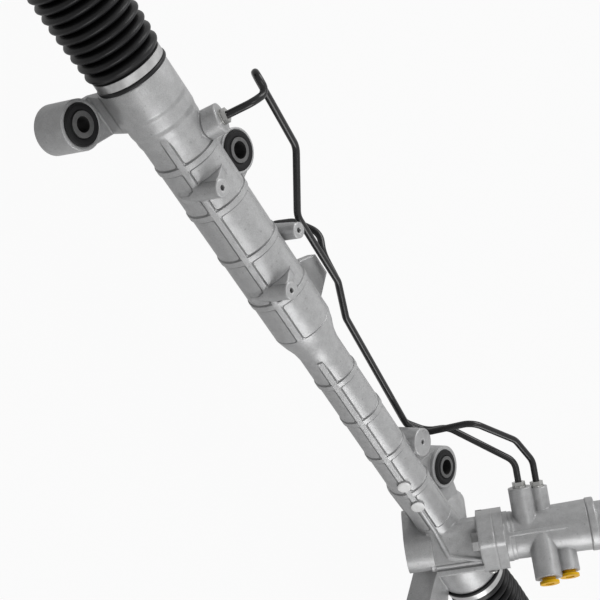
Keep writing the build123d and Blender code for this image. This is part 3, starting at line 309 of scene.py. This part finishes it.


# A finish with grain, slow patches of tone, painted shade in inner corners, outer edges lightened as wear and painted
# highlight and, on a casting, pits and painted shade at the feet of the panel walls
def makeFinish(name, base, roughness, metallic, dark=0.85, light=1.12, spread=0.06, bump=0.00003,
               grain=1800, patch=110, pits=0.0, edgeRadius=0.0005, edgeWearAndHighlight=0.08, paintedCornerShade=0.35,
               cornerReach=0.004, grainShare=0.25, specular=0.5, casting=False):
    material = bpy.data.materials.new(name)
    material.use_nodes = True
    tree = material.node_tree
    nodes = tree.nodes
    link = tree.links.new
    shader = nodes["Principled BSDF"]
    shader.inputs["Metallic"].default_value = metallic
    shader.inputs["Specular IOR Level"].default_value = specular
    grainNode = nodes.new("ShaderNodeGroup")
    grainNode.node_tree = grainGroup
    grainNode.inputs["Grain Scale"].default_value = grain
    grainNode.inputs["Patch Scale"].default_value = patch
    edgeNode = nodes.new("ShaderNodeGroup")
    edgeNode.node_tree = edgeGroup
    edgeNode.inputs["Radius"].default_value = edgeRadius
    edgeNode.inputs["Corner Reach"].default_value = cornerReach
    tone = nodes.new("ShaderNodeValToRGB")
    tone.color_ramp.elements[0].position = 0.3
    tone.color_ramp.elements[0].color = (*[c * dark for c in base], 1)
    tone.color_ramp.elements[1].position = 0.72
    tone.color_ramp.elements[1].color = (*[min(1, c * light) for c in base], 1)
    speck = nodes.new("ShaderNodeMixRGB")
    speck.blend_type = "OVERLAY"
    speck.inputs["Fac"].default_value = grainShare
    # outer edges are lightened in the colour, partly as wear and partly as a painted highlight
    wornAndHighlit = nodes.new("ShaderNodeMixRGB")
    wornAndHighlit.inputs["Color2"].default_value = (*[min(1, c * light + edgeWearAndHighlight) for c in base], 1)
    # the dark colour that the painted shade mixes towards
    paintedShadeMix = nodes.new("ShaderNodeMixRGB")
    paintedShadeMix.inputs["Color2"].default_value = (*[c * 0.12 for c in base], 1)
    link(grainNode.outputs["Patch"], tone.inputs["Fac"])
    link(tone.outputs["Color"], speck.inputs["Color1"])
    link(grainNode.outputs["Grain"], speck.inputs["Color2"])
    link(speck.outputs["Color"], wornAndHighlit.inputs["Color1"])
    link(calc(tree, "MULTIPLY", edgeNode.outputs["Edge"], 0.7), wornAndHighlit.inputs["Fac"])
    # painted shade: inner corners are darkened in the colour, and the pits and, on a casting, the feet of the panel
    # walls with them
    paintedShadeAndPits = calc(tree, "MULTIPLY", edgeNode.outputs["Corner"], paintedCornerShade)
    if pits:
        paintedShadeAndPits = calc(tree, "MAXIMUM", paintedShadeAndPits, calc(tree, "MULTIPLY", grainNode.outputs["Pits"], pits))
    relief = nodes.new("ShaderNodeBump")
    relief.inputs["Distance"].default_value = bump
    link(grainNode.outputs["Grain"], relief.inputs["Height"])
    if casting:
        joinNode = nodes.new("ShaderNodeGroup")
        joinNode.node_tree = joinGroup
        panelNode = nodes.new("ShaderNodeGroup")
        panelNode.node_tree = panelGroup
        link(joinNode.outputs["Radius"], edgeNode.inputs["Radius"])
        # the shade painted at the feet of the panel walls joins the painted corner shade
        paintedShadeAndPits = calc(tree, "MAXIMUM", paintedShadeAndPits, calc(tree, "MULTIPLY", panelNode.outputs["Line"],
                                                           panels["creaseShadeShare"]))
        panelBump = nodes.new("ShaderNodeBump")
        panelBump.inputs["Distance"].default_value = panels["depth"]
        link(panelNode.outputs["Height"], panelBump.inputs["Height"])
        link(edgeNode.outputs["Normal"], panelBump.inputs["Normal"])
        link(panelBump.outputs["Normal"], relief.inputs["Normal"])
    else:
        link(edgeNode.outputs["Normal"], relief.inputs["Normal"])
    link(paintedShadeAndPits, paintedShadeMix.inputs["Fac"])
    link(wornAndHighlit.outputs["Color"], paintedShadeMix.inputs["Color1"])
    link(paintedShadeMix.outputs["Color"], shader.inputs["Base Color"])
    link(ramp(tree, grainNode.outputs["Grain"], 0.0, 1.0, roughness - spread, roughness + spread),
         shader.inputs["Roughness"])
    link(relief.outputs["Normal"], shader.inputs["Normal"])
    return material


# In each finish below, the corner value is the strength of the shade painted into inner corners, and the edge value
# is how much outer edges are lightened as wear and painted highlight
castFinish = makeFinish("castAluminium", (0.49, 0.492, 0.495), 0.39, 0.45, dark=0.92, light=1.08, bump=0.00016,
                        grain=1250, patch=140, pits=0.3, grainShare=0.4, edgeWearAndHighlight=0.2, paintedCornerShade=0.18,
                        casting=True)
valveFinish = makeFinish("valveCasting", (0.49, 0.492, 0.495), 0.37, 0.48, dark=0.92, light=1.08, bump=0.00014,
                         grain=1400, patch=160, pits=0.3, grainShare=0.4, edgeRadius=0.0022, edgeWearAndHighlight=0.16,
                         paintedCornerShade=0.25)
padFinish = makeFinish("padAluminium", (0.92, 0.92, 0.91), 0.42, 0.1, bump=0.00006, grain=1500,
                       edgeRadius=0.0006, edgeWearAndHighlight=0.05)
rubberFinish = makeFinish("bellowsRubber", (0.011, 0.011, 0.012), 0.36, 0.0, dark=0.8, light=1.3, grain=1500,
                          patch=60, edgeRadius=0.0004, edgeWearAndHighlight=0.004, paintedCornerShade=0.75, cornerReach=0.008,
                          specular=0.3)
bushFinish = makeFinish("bushRubber", (0.013, 0.013, 0.014), 0.6, 0.0, dark=0.8, light=1.25, bump=0.00005,
                        edgeRadius=0.0007, edgeWearAndHighlight=0.008, paintedCornerShade=0.7, specular=0.28)
lineFinish = makeFinish("lineCoating", (0.010, 0.010, 0.011), 0.2, 0.0, dark=0.8, light=1.3, bump=0.00002,
                        grain=1600, patch=90, edgeRadius=0.0003, edgeWearAndHighlight=0.005)
zincFinish = makeFinish("zincPlate", (0.5, 0.5, 0.488), 0.16, 1.0, dark=0.9, light=1.1, spread=0.03, grain=2200,
                        patch=120, edgeRadius=0.0003, edgeWearAndHighlight=0.1, paintedCornerShade=0.6, cornerReach=0.003)
sleeveFinish = makeFinish("sleeveSteel", (0.17, 0.17, 0.17), 0.5, 0.5, grain=2200, patch=200,
                          edgeRadius=0.0003, edgeWearAndHighlight=0.06, paintedCornerShade=0.8, cornerReach=0.02)
bandFinish = makeFinish("bandSteel", (0.56, 0.56, 0.56), 0.32, 0.85, grain=2000, patch=150,
                        edgeRadius=0.0002, edgeWearAndHighlight=0.08)
groundFinish = makeFinish("groundSteel", (0.55, 0.55, 0.56), 0.26, 0.95, bump=0.00002, grain=2400, patch=90,
                          edgeWearAndHighlight=0.12)
darkFinish = makeFinish("darkSteel", (0.12, 0.12, 0.125), 0.42, 0.7, dark=0.8, light=1.3, bump=0.00004,
                        edgeWearAndHighlight=0.1)
boltFinish = makeFinish("boltSteel", (0.22, 0.22, 0.22), 0.36, 0.75, dark=0.8, light=1.2, edgeWearAndHighlight=0.1)
bronzeFinish = makeFinish("bearingBronze", (0.42, 0.27, 0.12), 0.38, 0.9, edgeWearAndHighlight=0.1)
nylonFinish = makeFinish("whiteNylon", (0.62, 0.61, 0.56), 0.48, 0.0, grain=1500, edgeWearAndHighlight=0.05)
plugFinish = makeFinish("plugPlastic", (1.0, 0.56, 0.001), 0.36, 0.0, dark=0.94, light=1.0, grain=1400,
                        edgeWearAndHighlight=0.02, specular=0.25)
print("stage: finishes made")

slotFinish = {
    "cast_aluminium": castFinish, "black_rubber": rubberFinish, "black_steel_line": lineFinish,
    "zinc_steel": zincFinish, "ground_steel": groundFinish, "dark_steel": darkFinish,
    "bronze": bronzeFinish, "seal_rubber": bushFinish, "white_nylon": nylonFinish,
    "yellow_plastic": plugFinish}
nodeFinish = {
    "valve_housing": valveFinish, "valve_end_cap": valveFinish, "mount_rubbers": bushFinish,
    "mount_sleeves": sleeveFinish, "cylinder_end_band": bandFinish, "pinion_end_band": bandFinish,
    "flange_bolts": boltFinish}
for entry in frame["record"]["subparts"]:
    node = entry["node"]
    paint(frame["nodes"][node], nodeFinish.get(node, slotFinish[entry["material_slot"]]))

# The castings and lines that show get a merged, smoothed copy of their solid
dressed = {
    "castHousing": ("rack_housing", "cast_aluminium", castFinish),
    "valveBody": ("valve_housing", "cast_aluminium", valveFinish),
    "valveCap": ("valve_end_cap", "cast_aluminium", valveFinish),
    "longLine": ("long_pressure_line", "black_steel_line", lineFinish),
    "shortLine": ("short_pressure_line", "black_steel_line", lineFinish)}
for name, (node, slotName, finish) in dressed.items():
    piece = mergedCopy(node, name)
    smoothByAngle(piece)
    paint(piece, finish)
    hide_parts(node)
    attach(piece, "housing")
print("stage: castings and lines dressed")


# A skin turned about the axis direction through centre, its profile extruded from one vertex.
# Profile points are millimetres: along the axis from the centre, and out from it.
def turnedSkin(name, profile, centre, direction, outward, steps=96, closed=False):
    bpy.ops.object.select_all(action="DESELECT")
    bpy.ops.mesh.primitive_plane_add(size=0.002, location=(0, 0, 0))
    skin = bpy.context.active_object
    skin.name = name
    bpy.ops.object.mode_set(mode="EDIT")
    bpy.ops.mesh.select_mode(type="VERT")
    bpy.ops.mesh.select_all(action="SELECT")
    bpy.ops.mesh.merge(type="CENTER")
    places = [centre + (direction * along + outward * radius) / 1000 for along, radius in profile]
    if closed:
        places.append(places[0])
    bpy.ops.transform.translate(value=places[0])
    for before, after in zip(places, places[1:]):
        bpy.ops.mesh.extrude_region_move(TRANSFORM_OT_translate={"value": after - before})
    bpy.ops.mesh.select_all(action="SELECT")
    bpy.ops.mesh.spin(steps=steps, angle=math.tau, center=centre, axis=direction)
    bpy.ops.mesh.select_all(action="SELECT")
    bpy.ops.mesh.remove_doubles(threshold=0.00001)
    bpy.ops.mesh.select_all(action="SELECT")
    bpy.ops.mesh.normals_make_consistent(inside=False)
    bpy.ops.object.mode_set(mode="OBJECT")
    return skin


# Bellows: distances run outwards from the casting's collar face. Crests are (distance, radius) points.
bellows = {
    "foldsStart": 12.4, "foldsEnd": 194.0, "folds": 20, "depth": 7.2, "roundness": 0.62,
    "phases": (0.0, 0.03, 0.09, 0.18, 0.3, 0.42, 0.5, 0.58, 0.7, 0.82, 0.91, 0.97),
    "rackRoot": 13, "seatRoot": 15, "length": 206.4, "cuffR": 10.45, "rodR": 8.1,
    "cylinder_end": {"collarX": -159.5, "side": -1, "lipR": 30.5, "seatR": 27.0,
                     "crests": ((0, 31.6), (60, 33.6), (140, 33.6), (200, 27.6))},
    "pinion_end": {"collarX": 466.0, "side": 1, "lipR": 33.7, "seatR": 29.5,
                   "crests": ((0, 31.0), (14, 31.3), (36, 32.8), (55, 33.8), (140, 33.6), (200, 27.6))}}


def crestAt(crests, along):
    for (start, low), (end, high) in zip(crests, crests[1:]):
        if along <= end:
            return low + (high - low) * (along - start) / (end - start)
    return crests[-1][1]


def foldPoints(form, first, last):
    pitch = (bellows["foldsEnd"] - bellows["foldsStart"]) / bellows["folds"]
    points = []
    for fold in range(first, last):
        for phase in bellows["phases"]:
            along = bellows["foldsStart"] + (fold + phase) * pitch
            crest = crestAt(form["crests"], along)
            root = crest - bellows["depth"]
            if fold == 0 and phase < 0.5:
                root = max(root, form["seatR"] + 1.2 - 0.4 * phase)
            points.append((along, root + (crest - root) * math.sin(math.pi * phase) ** bellows["roundness"]))
    end = bellows["foldsStart"] + last * pitch
    points.append((end, crestAt(form["crests"], end) - bellows["depth"]))
    return points


def makeBellows(end):
    form = bellows[end]
    lip, seat = form["lipR"], form["seatR"]
    far, cuff = bellows["foldsEnd"], bellows["cuffR"]
    pitch = (far - bellows["foldsStart"]) / bellows["folds"]
    rackAlong = bellows["foldsStart"] + bellows["rackRoot"] * pitch
    seatAlong = bellows["foldsStart"] + bellows["seatRoot"] * pitch
    lipPoints = [(0.15, seat + 0.3), (0.15, lip - 0.9), (0.45, lip - 0.3), (1.1, lip), (2.9, lip),
                 (3.6, lip - 0.4), (3.95, lip - 1.3), (4.0, seat + 2.0), (11.6, seat + 2.0), (12.0, seat + 1.2)]
    cuffPoints = [(far + 0.25, crestAt(form["crests"], far) - bellows["depth"] - 4), (far + 0.4, cuff + 2),
                  (far + 0.9, cuff + 0.2), (far + 1.6, cuff), (bellows["length"] - 0.6, cuff),
                  (bellows["length"], cuff - 0.6), (bellows["length"], bellows["rodR"])]
    # three skins that meet at fold roots: one stretches with the rack, two swing with the tie rod
    skins = (
        ("Stretching", lipPoints + foldPoints(form, 0, bellows["rackRoot"]), "housing", "rack", 4.0, rackAlong - 1.5),
        ("Swinging", foldPoints(form, bellows["rackRoot"], bellows["seatRoot"]), "rack", end + "_seat",
         rackAlong, seatAlong),
        ("Lifting", foldPoints(form, bellows["seatRoot"], bellows["folds"]) + cuffPoints,
         end + "_seat", end + "_rod", seatAlong + 1, seatAlong + 36))
    collar = fromRack(form["collarX"], 0, 0)
    outwards = Vector((form["side"], 0, 0))
    for label, profile, first, second, start, stop in skins:
        skin = turnedSkin(end + label, profile, collar, outwards, Vector((0, 0, 1)))
        smoothByAngle(skin, 50)
        paint(skin, rubberFinish)
        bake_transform(skin, first, second, start=tuple(collar + outwards * start / 1000),
                 end=tuple(collar + outwards * stop / 1000))
        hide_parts(end + "_bellows")


makeBellows("cylinder_end")
makeBellows("pinion_end")
print("stage: bellows made")

# Mounting rubbers: centre x, y and top z of each eye, and the face's profile as radius and height over the eye
rubbers = {
    "eyes": ((-148.5, -40.2, -37.0), (-46.0, 45.0, 4.0), (360.6, 45.0, 4.0), (470.0, -80.0, -8.0)),
    "length": 32.0,
    "face": ((10.9, 0.9), (11.6, 1.5), (13.2, 1.7), (15.2, 1.6), (15.5, 1.25), (15.9, 1.25), (16.2, 1.4),
             (16.9, 0.9), (17.3, 0.1), (17.35, -1.5))}
for number, (x, y, top) in enumerate(rubbers["eyes"]):
    upper = [(height, radius) for radius, height in rubbers["face"]]
    lower = [(-rubbers["length"] - height, radius) for radius, height in reversed(rubbers["face"])]
    rubber = turnedSkin("bushRubber%d" % (number + 1), upper + lower, fromRack(x, y, top), Vector((0, 0, 1)),
                        Vector((1, 0, 0)), closed=True)
    smoothByAngle(rubber, 40)
    paint(rubber, bushFinish)
    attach(rubber, "housing")
    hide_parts("mount_rubbers")
print("stage: mounting rubbers made")

# The pinion's axis, as the casting has it
pinion = {"tilt": math.radians(16.1), "x": 409.9, "distance": 15.0, "portTurn": math.radians(234.6)}
frontDir = Vector((0, -math.cos(axis["lean"]), math.sin(axis["lean"])))
pinionDir = Vector((math.sin(pinion["tilt"]), math.cos(pinion["tilt"]) * math.sin(axis["lean"]),
                    math.cos(pinion["tilt"]) * math.cos(axis["lean"])))
sideDir = pinionDir.cross(frontDir)


# A round pad that stands on the casting: a disc with an inset, slightly crowned face and a soft rim
def makePad(name, foot, direction, form, finish):
    bpy.ops.object.select_all(action="DESELECT")
    bpy.ops.mesh.primitive_cylinder_add(
        vertices=64, radius=form["radius"] / 1000, depth=form["thickness"] / 1000,
        location=foot + direction * form["thickness"] / 2000, rotation=direction.to_track_quat("Z", "Y").to_euler())
    pad = bpy.context.active_object
    pad.name = name
    settle(pad)
    bpy.ops.object.mode_set(mode="EDIT")
    bpy.ops.mesh.select_mode(type="FACE")
    bpy.ops.mesh.select_all(action="DESELECT")
    bpy.ops.object.mode_set(mode="OBJECT")
    for face in pad.data.polygons:
        face.select = face.normal.dot(direction) > 0.9
    bpy.ops.object.mode_set(mode="EDIT")
    bpy.ops.mesh.inset(thickness=form["radius"] * 0.35 / 1000)
    bpy.ops.transform.translate(value=direction * form["crown"] / 1000)
    bpy.ops.object.mode_set(mode="OBJECT")
    rim = pad.modifiers.new("rim", "BEVEL")
    rim.width = form["rim"] / 1000
    rim.segments = 3
    rim.limit_method = "ANGLE"
    rim.angle_limit = math.radians(50)
    applyModifiers(pad)
    smoothByAngle(pad, 40)
    paint(pad, finish)
    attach(pad, "housing")


# Bright ejector pads on the tube's posts, and the plug on the flange's lobe
pads = {"xs": (313.3, 342.6), "height": 21.88, "radius": 6.4, "thickness": 0.3, "crown": 0.06, "rim": 0.12}
for number, x in enumerate(pads["xs"]):
    makePad("ejectorPad%d" % (number + 1), fromRack(x, 0, 0) + frontDir * pads["height"] / 1000, frontDir, pads,
            padFinish)
lobePlug = {"along": 40.0, "height": 30.7, "radius": 4.2, "thickness": 2.2, "crown": 0.5, "rim": 1.0}
lobeTurn = pinion["portTurn"] + math.pi
lobeDir = frontDir * math.cos(lobeTurn) + sideDir * math.sin(lobeTurn)
plugFoot = (fromRack(pinion["x"], 0, 0) + frontDir * pinion["distance"] / 1000
            + pinionDir * lobePlug["along"] / 1000 + lobeDir * lobePlug["height"] / 1000)
makePad("lobePlug", plugFoot, lobeDir, lobePlug, zincFinish)

# The web that joins the tower's flat side to the ledge under it: a bar whose face slopes up to the ledge.
# Its spans run up the pinion, across the flat side and out of it, and ledgeOut is where the ledge's edge stands.
web = {"faceOut": (-0.56, -0.63, 0.54), "spans": ((100.2, 145.4), (344.8, 352.4), (-204.0, -201.5)),
       "ledgeOut": -200.45}


def makeWeb():
    out = Vector(web["faceOut"]).normalized()
    out = (out - pinionDir * out.dot(pinionDir)).normalized()
    across = pinionDir.cross(out)
    lines = (pinionDir, across, out)
    middle = Vector((0, 0, 0))
    for line, (start, end) in zip(lines, web["spans"]):
        middle += line * (start + end) / 2
    middle = fromRack(*middle)
    bpy.ops.object.select_all(action="DESELECT")
    bpy.ops.mesh.primitive_cube_add(
        size=0.001, location=middle, rotation=Matrix(lines).transposed().to_euler(),
        scale=[end - start for start, end in web["spans"]])
    bar = bpy.context.active_object
    bar.name = "ledgeWeb"
    settle(bar)
    bpy.ops.object.mode_set(mode="EDIT")
    bpy.ops.mesh.select_mode(type="VERT")
    bpy.ops.mesh.select_all(action="DESELECT")
    bpy.ops.object.mode_set(mode="OBJECT")
    for vertex in bar.data.vertices:
        away = vertex.co - middle
        vertex.select = away.dot(out) > 0 and away.dot(across) > 0
    bpy.ops.object.mode_set(mode="EDIT")
    bpy.ops.transform.translate(value=out * (web["ledgeOut"] - web["spans"][2][1]) / 1000)
    bpy.ops.object.mode_set(mode="OBJECT")
    paint(bar, castFinish)
    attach(bar, "housing")


makeWeb()
print("stage: small trims made")

# The studio: a pale floor, soft even light, and a darker side on the left of the photograph.
# Lengths are metres here. Each lamp is its place, its size and its power in watts.
# The world fades from its bright to its dark strength over darkSpan, and glossShare is how much of the
# white background the metals see.
studio = {
    "floorDrop": 0.032, "floorSize": 9.0, "floorTone": 0.28, "floorShare": 0.95, "glossShare": 0.5,
    "brightSide": 0.54, "darkSide": 0.04, "darkDirection": (-0.75, -0.65, -0.15),
    "darkSpan": (-0.25, 0.75),
    "lamps": {"frontLamp": ((1.05, -1.40, 0.95), 1.3, 14.0), "backLamp": ((-0.80, 1.05, 1.15), 1.1, 10.5),
              "cameraLamp": ((-0.60, -0.60, 1.35), 0.6, 1.5)},
    "target": (-0.1, -0.05, 0.0)}

lowest = cadBox[0].z
bpy.ops.object.select_all(action="DESELECT")
bpy.ops.mesh.primitive_plane_add(size=studio["floorSize"], location=(0, 0, lowest - studio["floorDrop"]))
floor = bpy.context.active_object
floor.name = "paleFloor"
floorPaint = bpy.data.materials.new("palePaper")
floorPaint.use_nodes = True
floorTree = floorPaint.node_tree
floorShader = floorTree.nodes["Principled BSDF"]
floorShader.inputs["Base Color"].default_value = (*[studio["floorTone"]] * 3, 1)
floorShader.inputs["Roughness"].default_value = 0.9
glow = floorTree.nodes.new("ShaderNodeEmission")
glow.inputs["Strength"].default_value = 1.0
rays = floorTree.nodes.new("ShaderNodeLightPath")
seen = calc(floorTree, "MAXIMUM", rays.outputs["Is Camera Ray"], rays.outputs["Is Transmission Ray"])
glossy = calc(floorTree, "MULTIPLY", rays.outputs["Is Glossy Ray"], studio["glossShare"])
seen = calc(floorTree, "MAXIMUM", seen, glossy)
blendFloor = floorTree.nodes.new("ShaderNodeMixShader")
floorTree.links.new(calc(floorTree, "MULTIPLY", seen, studio["floorShare"]), blendFloor.inputs["Fac"])
floorTree.links.new(floorShader.outputs["BSDF"], blendFloor.inputs[1])
floorTree.links.new(glow.outputs["Emission"], blendFloor.inputs[2])
floorTree.links.new(blendFloor.outputs["Shader"], floorTree.nodes["Material Output"].inputs["Surface"])
paint(floor, floorPaint)

world = bpy.data.worlds.new("studioWorld")
bpy.context.scene.world = world
world.use_nodes = True
sky = world.node_tree
light = sky.nodes["Background"]
light.inputs["Color"].default_value = (1, 1, 1, 1)
toDark = sky.nodes.new("ShaderNodeVectorMath")
toDark.operation = "DOT_PRODUCT"
toDark.inputs[1].default_value = Vector(studio["darkDirection"]).normalized()
sky.links.new(sky.nodes.new("ShaderNodeTexCoord").outputs["Generated"], toDark.inputs[0])
strength = ramp(sky, toDark.outputs["Value"], *studio["darkSpan"], studio["brightSide"], studio["darkSide"],
                soft=True)
sky.links.new(strength, light.inputs["Strength"])
white = sky.nodes.new("ShaderNodeBackground")
white.inputs["Color"].default_value = (1, 1, 1, 1)
worldRays = sky.nodes.new("ShaderNodeLightPath")
worldMix = sky.nodes.new("ShaderNodeMixShader")
worldSeen = calc(sky, "MAXIMUM", worldRays.outputs["Is Camera Ray"], worldRays.outputs["Is Transmission Ray"])
worldGlossy = calc(sky, "MULTIPLY", worldRays.outputs["Is Glossy Ray"], studio["glossShare"])
sky.links.new(calc(sky, "MAXIMUM", worldSeen, worldGlossy), worldMix.inputs["Fac"])
sky.links.new(light.outputs["Background"], worldMix.inputs[1])
sky.links.new(white.outputs["Background"], worldMix.inputs[2])
sky.links.new(worldMix.outputs["Shader"], sky.nodes["World Output"].inputs["Surface"])

for name, (place, size, power) in studio["lamps"].items():
    data = bpy.data.lights.new(name, "AREA")
    data.shape = "DISK"
    data.size = size
    data.energy = power
    lamp = bpy.data.objects.new(name, data)
    bpy.context.scene.collection.objects.link(lamp)
    lamp.location = place
    lamp.rotation_euler = (Vector(studio["target"]) - Vector(place)).to_track_quat("-Z", "Y").to_euler()
print("stage: floor and light set")

# The camera stands where the photograph was taken from; these three are its own axes
camera = {
    "place": (-0.85408, -0.675813, 0.748947),
    "right": (0.47813526, 0.43504, 0.76297239),
    "up": (-0.71044207, 0.70233129, 0.04475287),
    "back": (-0.51639009, -0.56344561, 0.64488007),
    "lens": 78.6}
cameraData = bpy.data.cameras.new("photoCamera")
cameraData.lens = camera["lens"]
cameraData.sensor_width = 36.0
cameraData.sensor_fit = "HORIZONTAL"
cameraObject = bpy.data.objects.new("photoCamera", cameraData)
bpy.context.scene.collection.objects.link(cameraObject)
turn = Matrix((camera["right"], camera["up"], camera["back"])).transposed()
cameraObject.matrix_world = Matrix.Translation(camera["place"]) @ turn.to_4x4()
bpy.context.scene.camera = cameraObject
bpy.context.scene.view_settings.view_transform = "Standard"

print("stage: camera set")
